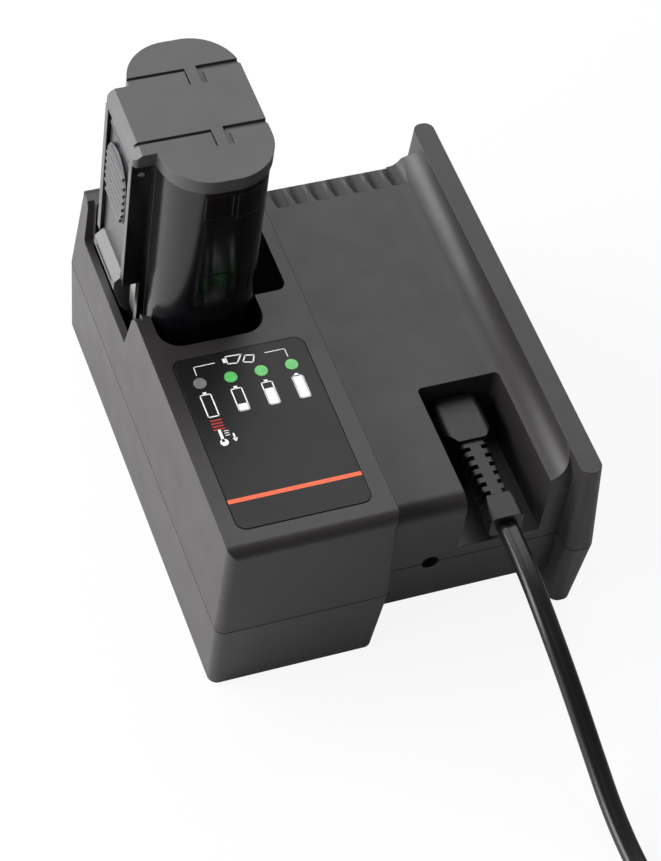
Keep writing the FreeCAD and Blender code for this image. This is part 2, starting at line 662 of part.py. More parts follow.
def contact_blades():
    x0, y0, x1, y1 = CONTACT_BLOCK
    floor = size("bay_floor")
    blades = []
    for k in range(4):
        x = x0 + 3.0 + 2.73 * k
        blades.append(box(x, y0 + 4, floor - 3, x + 0.8, y1 - 4, floor + 9))
    return Part.makeCompound(blades)


keep("mains_inlet", mains_inlet())
keep("inlet_pins", inlet_pins())
keep("dc_jack", dc_jack())
keep("dc_jack_pin", dc_jack_pin())
keep("housing_screws", housing_screws())
keep("contact_block", contact_block())
keep("contact_blades", contact_blades())

feet = []
for x, y in FEET:
    feet.append(prism(16, size("foot_radius"), size("foot_thick"), Vector(x, y, 0)))
keep("rubber_feet", Part.makeCompound(feet))

# The battery: case, lid, cells and latch
BX0 = size("battery_left")
BX1 = BX0 + size("battery_width")
BY0 = size("battery_front")
BY1 = BY0 + size("battery_length")
BZ0 = size("battery_bottom")
CAP_Z = size("battery_top") - size("cap_thick")
MID_X = (BX0 + BX1) / 2
MID_Y = (BY0 + BY1) / 2
LY0 = size("latch_front")
LY1 = LY0 + size("latch_length")
LX = BX0 - size("latch_out")
POCKET = (13.6, 97.6, 31.4, 120.4)
CELL_Z = BZ0 + 14.0 + size("battery_wall") + 0.3


def battery_outline(grow, z0, z1):
    return rounded_block(BX0 - grow, BY0 - grow, BX1 + grow, BY1 + grow, size("battery_corner") + grow, z0, z1)


def battery_case():
    """Tall tub with a plug well below, and rails that guard the latch."""
    wall = size("battery_wall")
    case = battery_outline(0, BZ0, CAP_Z)
    case = case.cut(battery_outline(-wall, BZ0 + wall, CAP_Z + 1))
    x0, y0, x1, y1 = POCKET
    well_top = BZ0 + 14.0
    case = case.fuse(box(x0 - wall, y0 - wall, BZ0, x1 + wall, y1 + wall, well_top + wall))
    case = case.cut(box(x0, y0, BZ0 - 1, x1, y1, well_top))
    rail = size("rail_width")
    for y in (LY0, LY1 - rail):
        case = case.fuse(box(LX, y, size("latch_foot"), BX0 + wall, y + rail, CAP_Z))
        case = case.fuse(box(size("bay_left") + 0.6, y, PARTING + 1.5, BX0 + wall, y + rail, size("latch_foot")))
    for y in (LY0, LY1 - rail):
        case = case.cut(latch_axis(1.02, y - 1, y + rail + 1))
    inner = battery_outline(-wall, BZ0 + wall, CAP_Z + 1)
    inner = inner.cut(box(x0 - wall, y0 - wall, BZ0, x1 + wall, y1 + wall, well_top + wall))
    case = case.cut(inner)
    y0, y1, z0, z1 = SIDE_CONTACT
    return case.cut(box(BX0 - 0.4, y0, z0, BX0 + 0.6, y1, z1))


SIDE_CONTACT = (102.5, 108.5, 52.0, 66.0)
LATCH_PIVOT = Vector(1.6, 0, CAP_Z - 4.6)


def latch_axis(radius, y0, y1):
    return rod(radius, y1 - y0, LATCH_PIVOT + Vector(0, y0, 0), Vector(0, 1, 0))


def cap_groove(x0, y0, x1, y1):
    top = size("battery_top")
    return box(x0, y0, top - 0.8, x1, y1, top + 1)


def battery_cap():
    proud = size("cap_proud")
    top = size("battery_top")
    cap = battery_outline(proud, CAP_Z, top)
    bump = rounded_block(LX, LY0 - 1.2, BX0 + 12, LY1 + 0.6, 1.6, CAP_Z, top)
    cap = cap.fuse(bump).removeSplitter()
    slope = profile_solid([Vector(LX - 1, 0, top - 2.6), Vector(LX + 2.6, 0, top + 0.02),
                           Vector(LX + 2.6, 0, top + 2), Vector(LX - 1, 0, top + 2)], Vector(0, 300, 0))
    cap = cap.cut(slope)
    for y in (124.3, 99.8):
        grooves = [cap_groove(LX - 1 if y < 110 else BX0 - 1, y - 0.5, 23.0, y + 0.5),
                   cap_groove(22.6, y - 5.9, 23.1, y),
                   cap_groove(26.5, y - 0.9, BX1 + 2, y + 0.9),
                   cap_groove(26.5, y - 5.9, 28.1, y)]
        cap = cap.cut(grooves)
    plug = battery_outline(-size("battery_wall") - 0.1, CAP_Z - 2, CAP_Z)
    return cap.fuse(plug)


def battery_cells():
    z = CELL_Z
    cells = []
    for side in (-1, 1):
        spot = Vector(MID_X, MID_Y + side * (size("cell_radius") + 0.05), z)
        cell = prism(24, size("cell_radius"), size("cell_length"), spot)
        cells.append(cell.fuse(prism(12, 4.0, 1.2, spot + Vector(0, 0, size("cell_length")))))
    return Part.makeCompound(cells)


def cell_straps():
    z = CELL_Z + size("cell_length") + 1.2
    top = box(MID_X - 4, MID_Y - 18, z, MID_X + 4, MID_Y + 18, z + 0.3)
    low = box(MID_X - 4, MID_Y - 18, CELL_Z - 0.3, MID_X + 4, MID_Y + 18, CELL_Z)
    return Part.makeCompound([top, low])


def battery_contacts():
    x0, y0, x1, y1 = CONTACT_BLOCK
    well_top = BZ0 + 14.0
    clips = []
    for k in range(4):
        x = x0 + 3.4 + 2.73 * k
        clips.append(box(x - 0.9, y0 + 5, well_top - 4.6, x + 0.9, y1 - 5, well_top))
    return Part.makeCompound(clips)


def latch_lever():
    """Top-hung lever: pivot eye, plate with a ribbed oval pad, and a hook below."""
    gap = 0.35
    y0 = LY0 + size("rail_width") + gap
    y1 = LY1 - size("rail_width") - gap
    px = LATCH_PIVOT.x
    pz = LATCH_PIVOT.z
    foot = size("latch_foot")
    points = [Vector(LX + 1.1, y0, pz), Vector(LX + 1.1, y0, foot + 1.5), Vector(LX - HOOK_OUT, y0, foot - 1.2),
              Vector(LX - HOOK_OUT, y0, foot - 4.6), Vector(LX + 0.9, y0, foot - 12.5), Vector(px - 0.2, y0, foot - 15),
              Vector(px + 0.7, y0, foot - 15), Vector(px + 0.7, y0, pz)]
    lever = profile_solid(points, Vector(0, y1 - y0, 0))
    lever = lever.fuse(rod(2.2, y1 - y0, Vector(px, y0, pz), Vector(0, 1, 0)))
    slot = box(LX - 3, y0 + 2.5, foot - 3.4, LX + 0.4, y1 - 2.5, foot - 2.2)
    lever = lever.cut(slot)
    pad_z0 = 93.0
    pad_z1 = pz - 2.8
    middle = (pad_z0 + pad_z1) / 2
    pad = rod(9.0, 3.0, Vector(LX + 0.2, (y0 + y1) / 2, pad_z0 + 9), Vector(1, 0, 0))
    pad = pad.fuse(rod(9.0, 3.0, Vector(LX + 0.2, (y0 + y1) / 2, pad_z1 - 9), Vector(1, 0, 0)))
    pad = pad.fuse(box(LX + 0.2, (y0 + y1) / 2 - 9, pad_z0 + 9, LX + 3.2, (y0 + y1) / 2 + 9, pad_z1 - 9))
    ribs = []
    for k in range(7):
        z = middle + (k - 3) * 2.9
        half = math.sqrt(max(81 - max(abs(z - middle) - (pad_z1 - pad_z0) / 2 + 9, 0) ** 2, 4)) - 1.0
        ribs.append(prism(6, 0.8, 2 * half, Vector(LX + 0.2, (y0 + y1) / 2 - half, z), Vector(0, 1, 0)))
    lever = lever.fuse([pad] + ribs)
    return lever.cut(latch_axis(1.05, y0 - 1, y1 + 1))


def latch_spring():
    """Leaf spring from the case's side to the back of the lever."""
    y0 = MID_Y - 3.5
    z = LATCH_PIVOT.z
    points = [Vector(BX0 - 0.5, y0, z - 22), Vector(BX0, y0, z - 22), Vector(BX0, y0, z - 2),
              Vector(BX0 - 0.5, y0, z - 2), Vector(BX0 - 2.6, y0, z - 7.5), Vector(BX0 - 2.2, y0, z - 8),
              Vector(BX0 - 0.5, y0, z - 3.6)]
    return profile_solid(points, Vector(0, 7, 0))


def side_contact():
    y0, y1, z0, z1 = SIDE_CONTACT
    return box(BX0 - 0.3, y0, z0, BX0 + 0.6, y1, z1)


keep("battery_case", battery_case())
keep("battery_cap", battery_cap())
keep("battery_cells", battery_cells())
keep("cell_straps", cell_straps())
keep("battery_contacts", battery_contacts())
keep("side_contact", side_contact())
keep("latch_lever", latch_lever())
keep("latch_pin", latch_axis(1.0, LY0 + 0.2, LY1 - 0.2))
keep("latch_spring", latch_spring())
board("battery_board", (MID_X - 12, MID_Y - 20, MID_X + 12, MID_Y + 20),
      "%g" % (CELL_Z + size("cell_length") + 1.5))

# The cord set: connector, cord, coil and plug
BACK = Vector(0, 1, 0)
GRIP_BACK = size("recess_rear") - 0.8
NECK_Y = 34.0
RELIEF_END = 12.0
COLLAR_END = 4.4


def flat_moulding(plan, low, high, radius, axis):
    """A plan outline between two heights, with the edges that run along one axis rounded like a bar's."""
    solid = profile_solid([(Vector(x, y, low), r) for x, y, r in plan], Vector(0, 0, high - low))
    bounds = solid.BoundBox
    near = Vector(bounds.XMin, bounds.YMin, low)
    along = Vector(axis.x * bounds.XLength, axis.y * bounds.YLength, 0)
    across = Vector(bounds.XLength, bounds.YLength, 0) - along
    rise = Vector(0, 0, high - low)
    bar = profile_solid([(c, radius) for c in (near, near + across, near + across + rise, near + rise)], along)
    return solid.common(bar)


def both_sides(half_plan):
    """A plan outline mirrored across the connector's axis."""
    right = [(INLET_X + x, y, r) for x, y, r in half_plan]
    left = [(INLET_X - x, y, r) for x, y, r in half_plan]
    return right + left[::-1]


def cord_connector():
    """Ribbed grip, neck, slotted strain relief and end collar in one moulding, with its two sockets."""
    w = size("grip_width") / 2
    h = size("grip_height") / 2
    axis = size("plug_axis")
    grip = flat_moulding(both_sides([(w, GRIP_BACK, 1.2), (w, NECK_Y + 4, 2.5), (4.4, NECK_Y - 0.5, 0)]),
                         axis - h, axis + h, 2.6, BACK)
    relief = flat_moulding(both_sides([(4.6, NECK_Y, 0), (3.7, RELIEF_END, 0)]), axis - 3.8, axis + 3.8, 2.0,
                           BACK)
    count = int(size("relief_slots"))
    pitch = (NECK_Y - RELIEF_END - 2.0) / count
    for k in range(count):
        y = RELIEF_END + 1.4 + pitch * k
        for side in (-1, 1):
            x0 = INLET_X + side * 5.2 - 3.4
            relief = relief.cut(box(x0, y, 0, x0 + 6.8, y + pitch * 0.42, TOP))
    collar = flat_moulding(both_sides([(3.7, RELIEF_END + 1.2, 0), (5.2, COLLAR_END + 2.4, 0), (5.2, COLLAR_END, 0)]),
                           axis - 4.2, axis + 4.2, 1.6, BACK)
    insert = figure_eight(INSERT_WIDTH, INSERT_HEIGHT, GRIP_BACK - 1, size("recess_rear") + INSERT_DEEP)
    body = grip.fuse([relief, collar, insert])
    for side in (-1, 1):
        spot = Vector(INLET_X + side * PIN_APART / 2, size("recess_rear") + 1, axis)
        body = body.cut(prism(12, SOCKET_RADIUS, 40, spot, Vector(0, 1, 0)))
    return body


def connector_contacts():
    sleeves = []
    for side in (-1, 1):
        spot = Vector(INLET_X + side * PIN_APART / 2, size("recess_rear") + 1, size("plug_axis"))
        sleeve = prism(12, SOCKET_RADIUS, INSERT_DEEP - 1.6, spot, Vector(0, 1, 0))
        sleeves.append(sleeve.cut(prism(12, PIN_RADIUS + 0.1, 40, spot + Vector(0, 0.6, 0), Vector(0, 1, 0))))
    return Part.makeCompound(sleeves)


CORD = size("cord_width")
CORD_THICK = size("cord_thick")
CORD_SIDES = 6
COIL_R = size("coil_diameter") / 2
TURNS = size("coil_turns")
PITCH = CORD + size("coil_gap")
OUTER = COIL_R + PITCH * TURNS / 4
FLOOR_Z = CORD_THICK / 2
COIL_Z = FLOOR_Z + size("tie_thick") + 0.1
LAYER = CORD_THICK + 0.5
COIL_X = 54.0
COIL_Y = -152.0
CORD_ROUTE = [
    (INLET_X, COLLAR_END, size("plug_axis")),
    (INLET_X, -11.0, size("plug_axis")),
    (90.9, -28.0, 39.5),
    (94.0, -44.0, 27.5),
    (96.9, -60.0, 14.5),
    (98.2, -77.0, 6.0),
    (99.6, -96.0, FLOOR_Z + 0.1),
    (COIL_X + OUTER, -122.0, COIL_Z),
    (COIL_X + OUTER, COIL_Y + CORD, COIL_Z),
]


def free_path(points):
    """Straight runs joined by arcs, each as large as its two runs allow."""
    spots = [Vector(*p) for p in points]
    edges = []
    here = spots[0]
    for before, corner, after in zip(spots, spots[1:], spots[2:]):
        into = corner - before
        out = after - corner
        share = 0.45 * min(into.Length, out.Length)
        turn = into.getAngle(out)
        print("cord radius %.0f mm" % (share / math.tan(turn / 2)))
        first = corner - into.normalize() * share
        last = corner + out.normalize() * share
        edges.append(Part.makeLine(here, first))
        edges.append(arc_between(first, corner, last))
        here = last
    edges.append(Part.makeLine(here, spots[-1]))
    return Part.Wire(edges)


def tube(path):
    """The cord's flat oval section, faceted, swept along a path."""
    start = path.Edges[0].Vertexes[0].Point
    toward = path.Edges[0].Vertexes[1].Point - start
    across = toward.cross(Vector(0, 0, 1)).normalize() * (CORD / 2)
    rise = across.cross(toward).normalize() * (CORD_THICK / 2)
    corners = []
    for k in range(CORD_SIDES):
        angle = 2 * math.pi * k / CORD_SIDES
        corners.append(start + across * math.cos(angle) + rise * math.sin(angle))
    shell = Part.BRepOffsetAPI.MakePipeShell(path)
    shell.add(outline(corners))
    shell.build()
    shell.makeSolid()
    return shell.shape()


def coil_spot(turn):
    """Where the cord's middle lies after so many turns, going in and then out again."""
    inward = min(turn, TURNS - turn)
    radius = OUTER - PITCH * inward
    climb = min(max((turn - (TURNS / 2 - 0.25)) / 0.5, 0.0), 1.0)
    climb = climb * climb * (3 - 2 * climb)
    angle = -2 * math.pi * turn
    return Vector(COIL_X + radius * math.cos(angle), COIL_Y + radius * math.sin(angle), COIL_Z + LAYER * climb)


def coil_heading(turn):
    step = 0.002
    return (coil_spot(min(turn + step, TURNS)) - coil_spot(max(turn - step, 0))).normalize()


def biarc(start, leave, end, arrive):
    """Two tangent arcs from one place and heading to another."""
    chord = end - start
    both = leave + arrive
    short = 2 * (1 - leave.dot(arrive))
    along = chord.dot(both)
    reach = (-along + math.sqrt(along * along + short * chord.dot(chord))) / short
    first = start + leave * reach
    second = end - arrive * reach
    joint = (first + second) / 2
    return [arc_between(start, first, joint), arc_between(joint, second, end)]


PLUG_Z = 7.0
TAIL = 24.0


def coil_path():
    steps = int(round(TURNS * 4))
    east = Vector(0, -1, 0)
    edges = [Part.makeLine(Vector(COIL_X + OUTER, COIL_Y + CORD, COIL_Z), Vector(COIL_X + OUTER, COIL_Y, COIL_Z))]
    here = Vector(COIL_X + OUTER, COIL_Y, COIL_Z)
    heading = east
    for k in range(1, steps + 1):
        turn = TURNS * k / steps
        after = coil_spot(turn)
        arrive = coil_heading(turn)
        if k == steps:
            arrive = Vector(-1, 0, 0)
        edges += biarc(here, heading, after, arrive)
        here = after
        heading = arrive
    end = here + Vector(-TAIL, 0, PLUG_Z - here.z)
    edges += biarc(here, heading, end, Vector(-1, 0, 0.0001).normalize())
    edges.append(Part.makeLine(end, end + Vector(-CORD, 0, 0)))
    return Part.Wire(edges), end + Vector(-CORD, 0, 0)


def least_gap(spots, skip):
    """The least gap between two stretches of the coil, beside or above each other."""
    gaps = []
    for i, spot in enumerate(spots):
        for other in spots[i + skip:]:
            apart = other - spot
            sections = math.hypot(math.hypot(apart.x, apart.y) / CORD, apart.z / CORD_THICK)
            gaps.append(apart.Length * (1 - 1 / sections))
    return min(gaps)


cord_path = free_path(CORD_ROUTE)
mains_cord = tube(cord_path)
section = CORD_SIDES / 8 * CORD * CORD_THICK * math.sin(2 * math.pi / CORD_SIDES)
print("cord volume over section times length %.4f" % (mains_cord.Volume / section / cord_path.Length))
wound_path, PLUG_FACE = coil_path()
cord_coil = tube(wound_path)
print("coil volume over section times length %.4f" % (cord_coil.Volume / section / wound_path.Length))
print("coil's least gap to itself %.2f mm" % least_gap([coil_spot(TURNS * i / 600) for i in range(601)], 60))
print("whole cord %.0f mm" % (cord_path.Length + wound_path.Length))


def coil_ties():
    """Two straps round all the turns, on opposite sides, on which the coil lies."""
    thick = size("tie_thick")
    half = CORD / 2 + 0.15
    inner = OUTER - PITCH * TURNS / 2 - half - 0.3
    outer = OUTER + half + 0.3
    high = COIL_Z + LAYER + CORD_THICK / 2 + 0.15
    straps = []
    for side, ahead in ((-1, 6.0), (1, 14.0)):
        near = math.sqrt(inner * inner - ahead * ahead)
        x0, x1 = sorted((COIL_X + side * near, COIL_X + side * outer))
        y0 = COIL_Y - ahead
        strap = box(x0 - thick, y0, 0, x1 + thick, y0 + 8, high + thick)
        straps.append(strap.cut(box(x0, y0 - 1, thick, x1, y0 + 9, high)))
    return Part.makeCompound(straps)


def mains_plug():
    """Flat two-pole plug with a tapered, slotted relief where the cord goes in."""
    x, y, z = PLUG_FACE
    half = PLUG_Z - 0.15
    body = []
    for plan, height, radius in ((((0, 4.0, 0), (-16, 5.2, 0)), 4.4, 1.6),
                                 (((-14, 6.5, 0), (-25, 15.5, 6.0), (-38, 17.2, 6.0), (-50, 13.4, 3.0)), half, 3.2)):
        right = [(x + a, y + b, r) for a, b, r in plan]
        left = [(x + a, y - b, r) for a, b, r in plan]
        body.append(flat_moulding(right + left[::-1], z - height, z + height, radius, Vector(1, 0, 0)))
    plug = body[0].fuse(body[1])
    for k in range(4):
        for side in (-1, 1):
            y0 = y + side * 5.6 - 3.0
            plug = plug.cut(box(x - 12.6 + 3 * k, y0, -1, x - 11.4 + 3 * k, y0 + 6, 30))
    return plug


def plug_pins():
    pins = []
    for side in (-1, 1):
        spot = Vector(PLUG_FACE.x - 50, PLUG_FACE.y + side * 9.1, PLUG_Z)
        pins.append(prism(16, 2.0, 19.0, spot, Vector(-1, 0, 0)))
    return Part.makeCompound(pins)


keep("cord_connector", cord_connector())
keep("connector_contacts", connector_contacts())
keep("mains_cord", mains_cord)
keep("cord_coil", cord_coil)
keep("coil_ties", coil_ties())
keep("mains_plug", mains_plug())
keep("plug_pins", plug_pins())

# Every object and shape is checked before anything is written
doc.recompute()
for thing in doc.Objects:
    if "Invalid" in thing.State or "Error" in thing.State:
        raise RuntimeError("%s did not build" % thing.Label)
for node in NODES:
    if node.Shape.isNull() or not node.Shape.isValid():
        raise RuntimeError("%s has no valid shape" % node.Label)
os.makedirs("parts", exist_ok=True)
for node in NODES:
    node.Shape.exportStep("parts/%s.step" % node.Label)
    bounds = node.Shape.BoundBox
    print("%-20s %2d solids, %8.0f mm3, z %.1f to %.1f" % (node.Label, len(node.Shape.Solids),
                                                        node.Shape.Volume, bounds.ZMin, bounds.ZMax))
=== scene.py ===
"""Looks of the battery charger: finishes, label marks, cord, small trim, floor, light and camera."""
import math

import bmesh
import bpy
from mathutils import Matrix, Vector


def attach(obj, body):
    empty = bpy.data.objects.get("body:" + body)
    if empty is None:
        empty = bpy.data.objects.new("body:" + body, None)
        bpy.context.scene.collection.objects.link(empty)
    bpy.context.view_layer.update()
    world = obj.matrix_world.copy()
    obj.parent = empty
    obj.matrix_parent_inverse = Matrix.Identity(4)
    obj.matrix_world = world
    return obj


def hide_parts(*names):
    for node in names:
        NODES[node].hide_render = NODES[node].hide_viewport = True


MM = 0.001
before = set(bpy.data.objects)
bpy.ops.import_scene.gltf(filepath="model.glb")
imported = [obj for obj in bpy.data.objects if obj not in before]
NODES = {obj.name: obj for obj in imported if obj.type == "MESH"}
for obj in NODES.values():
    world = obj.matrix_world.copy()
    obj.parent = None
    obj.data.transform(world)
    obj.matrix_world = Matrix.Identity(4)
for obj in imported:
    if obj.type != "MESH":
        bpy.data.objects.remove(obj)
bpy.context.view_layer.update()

# The housing's front-left corner at its base, from the origin, in millimetres
LEFT = -58.55
FRONT = -74.5
PARTING_Z = 28.9
LABEL_TOP = 65.46

scene = bpy.context.scene


def at(x, y, z):
    """A place measured from the housing's front-left corner, in millimetres."""
    return Vector(((LEFT + x) * MM, (FRONT + y) * MM, z * MM))


# Camera at the photograph's place, solved from the housing's edges and the battery's outline
EYE = (-195.4, -417.4, 718.3)
EYE_TURN = (37.724, -6.292, -19.728)
EYE_LENS = 119.83
camera = bpy.data.objects.new("camera", bpy.data.cameras.new("camera"))
scene.collection.objects.link(camera)
camera.location = at(*EYE)
camera.rotation_euler = [math.radians(a) for a in EYE_TURN]
camera.data.lens = EYE_LENS
camera.data.clip_start = 0.01
camera.data.clip_end = 20.0
scene.camera = camera


# Finishes: lengths in millimetres, scales in repeats per metre
GRAIN_DEPTH = 0.06
SEAM_HALF = 0.19
SEAM_SHINE = 0.02
SEAM_COLOUR = (0.002, 0.002, 0.002, 1)
EDGE_SAMPLES = 6
SHADE_SCALE = 38.0
GLOSS_SCALE = 90.0
GLOSS_SPREAD = 0.07


def new_material(name):
    """A new material, its nodes, its links and its shader."""
    material = bpy.data.materials.new(name)
    material.use_nodes = True
    nodes = material.node_tree.nodes
    return material, nodes, material.node_tree.links, nodes["Principled BSDF"]


def noise(nodes, links, scale, detail, roughness=0.5):
    """Noise in the object's own place, so that it rides with the piece."""
    place = nodes.new("ShaderNodeTexCoord")
    texture = nodes.new("ShaderNodeTexNoise")
    texture.inputs["Scale"].default_value = scale
    texture.inputs["Detail"].default_value = detail
    texture.inputs["Roughness"].default_value = roughness
    links.new(place.outputs["Object"], texture.inputs["Vector"])
    return texture.outputs["Fac"]


def spread(nodes, links, value, low, high, start=0.3, end=0.7):
    """Noise mapped onto a range."""
    ramp = nodes.new("ShaderNodeMapRange")
    for socket, number in (("From Min", start), ("From Max", end), ("To Min", low), ("To Max", high)):
        ramp.inputs[socket].default_value = number
    links.new(value, ramp.inputs["Value"])
    return ramp.outputs["Result"]


def parting_line(nodes, links, colour, height):
    """A colour darkened in a hairline where the two shells meet, and the hairline as a mask."""
    place = nodes.new("ShaderNodeTexCoord")
    split = nodes.new("ShaderNodeSeparateXYZ")
    near = nodes.new("ShaderNodeMath")
    near.operation = "COMPARE"
    near.inputs[1].default_value = height
    near.inputs[2].default_value = SEAM_HALF * MM
    dark = nodes.new("ShaderNodeMix")
    dark.data_type = "RGBA"
    dark.inputs["B"].default_value = SEAM_COLOUR
    links.new(place.outputs["Object"], split.inputs["Vector"])
    links.new(split.outputs["Z"], near.inputs[0])
    links.new(near.outputs["Value"], dark.inputs["Factor"])
    links.new(colour, dark.inputs["A"])
    return dark.outputs["Result"], near.outputs["Value"]


def finish_of(name, colour, roughness, grain=0.0, grain_scale=1500.0, edge=0.25, metal=0.0, mottle=0.06,
              specular=0.5, parting=None):
    """A moulded or metal finish: fine grain, soft edges, and gentle unevenness of shade and gloss."""
    material, nodes, links, shader = new_material(name)
    shader.inputs["Metallic"].default_value = metal
    shader.inputs["Specular IOR Level"].default_value = specular
    broad = noise(nodes, links, SHADE_SCALE, 4.0)
    tint = nodes.new("ShaderNodeMix")
    tint.data_type = "RGBA"
    tint.inputs["A"].default_value = (*[c * (1 - mottle) for c in colour], 1)
    tint.inputs["B"].default_value = (*[c * (1 + mottle) for c in colour], 1)
    links.new(spread(nodes, links, broad, 0.0, 1.0), tint.inputs["Factor"])
    shade = tint.outputs["Result"]
    if parting:
        shade, seam = parting_line(nodes, links, shade, parting)
        shine = nodes.new("ShaderNodeMapRange")
        shine.inputs["To Min"].default_value = specular
        shine.inputs["To Max"].default_value = SEAM_SHINE
        links.new(seam, shine.inputs["Value"])
        links.new(shine.outputs["Result"], shader.inputs["Specular IOR Level"])
    links.new(shade, shader.inputs["Base Color"])
    smear = noise(nodes, links, GLOSS_SCALE, 5.0, 0.65)
    gloss = spread(nodes, links, smear, roughness * (1 - GLOSS_SPREAD), roughness * (1 + GLOSS_SPREAD))
    links.new(gloss, shader.inputs["Roughness"])
    normal = None
    if edge:
        bevel = nodes.new("ShaderNodeBevel")
        bevel.samples = EDGE_SAMPLES
        bevel.inputs["Radius"].default_value = edge * MM
        normal = bevel.outputs["Normal"]
    if grain:
        bump = nodes.new("ShaderNodeBump")
        bump.inputs["Strength"].default_value = grain
        bump.inputs["Distance"].default_value = GRAIN_DEPTH * MM
        links.new(noise(nodes, links, grain_scale, 3.0, 0.6), bump.inputs["Height"])
        if normal:
            links.new(normal, bump.inputs["Normal"])
        normal = bump.outputs["Normal"]
    if normal:
        links.new(normal, shader.inputs["Normal"])
    return material


HOUSING = finish_of("housing_plastic", (0.024, 0.0212, 0.0218), 0.42, grain=0.34, edge=0.35, specular=0.4,
                    parting=PARTING_Z * MM)
LABEL = finish_of("label_film", (0.009, 0.009, 0.009), 0.34, grain=0.12, grain_scale=2600.0, edge=0.1,
                  specular=0.2)
GLOSS = finish_of("battery_gloss", (0.0016, 0.0016, 0.0024), 0.2, grain=0.04, grain_scale=700.0, edge=0.3,
                  specular=0.45)
SATIN = finish_of("battery_satin", (0.034, 0.034, 0.036), 0.40, grain=0.3, edge=0.3)
LEVER = finish_of("lever_plastic", (0.010, 0.010, 0.012), 0.30, grain=0.12, edge=0.25)
CORD = finish_of("cord_rubber", (0.006, 0.006, 0.007), 0.36, grain=0.22, grain_scale=900.0, edge=0.0)
FITTING = finish_of("connector_rubber", (0.006, 0.006, 0.0068), 0.4, grain=0.3, edge=0.3, specular=0.4)
INSERT = finish_of("socket_plastic", (0.012, 0.012, 0.013), 0.4, grain=0.15)
RUBBER = finish_of("foot_rubber", (0.02, 0.02, 0.02), 0.75, grain=0.4, edge=0.2)
STEEL = finish_of("steel", (0.56, 0.56, 0.55), 0.28, metal=1.0, edge=0.1, mottle=0.03)
NICKEL = finish_of("nickel", (0.68, 0.65, 0.60), 0.24, metal=1.0, edge=0.1, mottle=0.03)
BRASS = finish_of("brass", (0.78, 0.60, 0.30), 0.25, metal=1.0, edge=0.1, mottle=0.03)
ALUMINIUM = finish_of("aluminium", (0.70, 0.70, 0.71), 0.38, metal=1.0, edge=0.15, mottle=0.03)
BOARD = finish_of("circuit_board", (0.02, 0.12, 0.05), 0.38, grain=0.2, edge=0.1)
FERRITE = finish_of("ferrite", (0.035, 0.035, 0.037), 0.6, grain=0.3)
WINDING = finish_of("winding_tape", (0.55, 0.42, 0.10), 0.4, grain=0.3)
CAN = finish_of("capacitor_sleeve", (0.03, 0.05, 0.09), 0.3)
COMPONENT = finish_of("component_resin", (0.02, 0.02, 0.02), 0.5, grain=0.3)
WRAP = finish_of("cell_wrap", (0.05, 0.18, 0.32), 0.35)
TIE = finish_of("tie_nylon", (0.025, 0.025, 0.025), 0.42, grain=0.2)
WHITE = finish_of("white_ink", (0.86, 0.87, 0.87), 0.45, edge=0.0, mottle=0.02)
ORANGE = finish_of("orange_ink", (0.80, 0.10, 0.028), 0.45, edge=0.0, mottle=0.02)
RED = finish_of("red_ink", (0.42, 0.02, 0.02), 0.45, edge=0.0, mottle=0.02)


def lamp_lens(name, colour, glow):
    """A round light guide: coloured resin with a little depth and a faint glow."""
    material, nodes, links, shader = new_material(name)
    shader.inputs["Roughness"].default_value = 0.3
    shader.inputs["Subsurface Weight"].default_value = 0.4
    shader.inputs["Subsurface Scale"].default_value = 0.0015
    shader.inputs["Emission Color"].default_value = (*colour, 1)
    shader.inputs["Emission Strength"].default_value = glow
    tint = nodes.new("ShaderNodeMix")
    tint.data_type = "RGBA"
    tint.inputs["A"].default_value = (*[c * 0.82 for c in colour], 1)
    tint.inputs["B"].default_value = (*[min(c * 1.15, 1) for c in colour], 1)
    links.new(spread(nodes, links, noise(nodes, links, 700.0, 3.0), 0.0, 1.0), tint.inputs["Factor"])
    links.new(tint.outputs["Result"], shader.inputs["Base Color"])
    return material


GREEN_LENS = lamp_lens("green_lens", (0.10, 0.50, 0.12), 0.02)
GREY_LENS = lamp_lens("grey_lens", (0.19, 0.19, 0.19), 0.0)
GLASS = finish_of("fuse_glass", (0.55, 0.6, 0.58), 0.08, edge=0.0)

FINISHES = {
    "lower_housing": HOUSING, "upper_housing": HOUSING, "rubber_feet": RUBBER, "housing_screws": STEEL,
    "label_panel": LABEL, "status_lenses": GREEN_LENS, "fault_lens": GREY_LENS, "status_leds": GREEN_LENS,
    "main_board": BOARD, "bay_board": BOARD, "display_board": BOARD, "battery_board": BOARD,
    "transformer_core": FERRITE, "transformer_winding": WINDING, "heat_sink": ALUMINIUM,
    "input_capacitor": CAN, "output_capacitors": CAN, "power_transistor": COMPONENT, "fuse": GLASS,
    "mains_inlet": INSERT, "inlet_pins": BRASS, "dc_jack": INSERT, "dc_jack_pin": NICKEL,
    "contact_block": INSERT, "contact_blades": BRASS,
    "battery_case": GLOSS, "battery_cap": SATIN, "battery_cells": WRAP, "cell_straps": NICKEL,
    "battery_contacts": BRASS, "side_contact": NICKEL,
    "latch_lever": LEVER, "latch_pin": STEEL, "latch_spring": STEEL,
    "cord_connector": FITTING, "connector_contacts": BRASS, "mains_cord": CORD, "cord_coil": CORD,
    "coil_ties": TIE, "mains_plug": FITTING, "plug_pins": NICKEL,
}
for name, node in NODES.items():
    node.data.materials.clear()
    node.data.materials.append(FINISHES[name])


